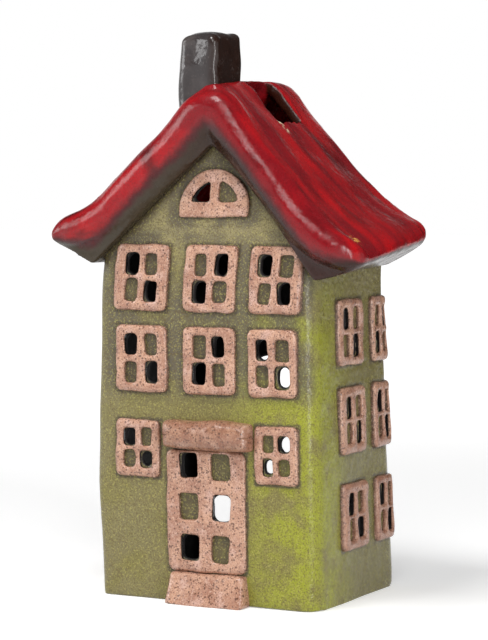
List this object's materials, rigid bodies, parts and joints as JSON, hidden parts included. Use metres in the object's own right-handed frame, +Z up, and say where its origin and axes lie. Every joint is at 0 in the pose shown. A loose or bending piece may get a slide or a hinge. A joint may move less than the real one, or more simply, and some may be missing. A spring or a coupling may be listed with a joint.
{
  "type": "ceramic tealight house",
  "caption": "Tall glazed ceramic house lantern with a steep flared roof, chimney, pierced window tiles, a door with canopy and step, and a loose tealight inside.",
  "frame": {"origin": "centre of the underside, on the surface it stands on", "axes": "+Z up; -Y towards the door side; +X to the right when facing the door"},
  "size_m": [0.148, 0.0965, 0.251],
  "materials": {
    "wall_glaze": "glossy speckled olive-green glaze",
    "frame_glaze": "glossy salmon-brown glaze with fine dark speckle",
    "canopy_glaze": "glossy orange-brown glaze with fine dark speckle",
    "roof_glaze": "glossy deep red glaze with darker streaks",
    "chimney_glaze": "glossy near-black glaze",
    "cup_metal": "thin pressed aluminium",
    "wax": "smooth white candle wax",
    "wick_cotton": "waxed cotton",
    "holder_steel": "plain tinned steel"
  },
  "bodies": {
    "house": {"front_wall": "wall_glaze", "back_wall": "wall_glaze", "left_wall": "wall_glaze", "right_wall": "wall_glaze", "base_slab": "wall_glaze", "roof": "roof_glaze", "chimney": "chimney_glaze", "door_canopy": "canopy_glaze", "door_step": "frame_glaze", "door_frame": "frame_glaze", "gable_fanlight": "frame_glaze", "front_window_top_left": "frame_glaze", "front_window_top_middle": "frame_glaze", "front_window_top_right": "frame_glaze", "front_window_middle_left": "frame_glaze", "front_window_middle_middle": "frame_glaze", "front_window_middle_right": "frame_glaze", "front_window_low_left": "frame_glaze", "front_window_low_right": "frame_glaze", "right_window_top_front": "frame_glaze", "right_window_top_back": "frame_glaze", "right_window_middle_front": "frame_glaze", "right_window_middle_back": "frame_glaze", "right_window_low_front": "frame_glaze", "right_window_low_back": "frame_glaze", "left_window_top_front": "frame_glaze", "left_window_top_back": "frame_glaze", "left_window_middle_front": "frame_glaze", "left_window_middle_back": "frame_glaze", "left_window_low_front": "frame_glaze", "left_window_low_back": "frame_glaze"},
    "tealight": {"tealight_cup": "cup_metal"},
    "candle": {"tealight_wax": "wax", "wick": "wick_cotton", "wick_holder": "holder_steel"}
  },
  "joints": [
    {"name": "tealight_slide", "type": "slide", "parent": "house", "child": "tealight", "axis": [0, 1, 0], "range_m": [0, 0.09]},
    {"name": "candle_lift", "type": "slide", "parent": "tealight", "child": "candle", "axis": [0, 0, 1], "range_m": [0, 0.025]}
  ]
}
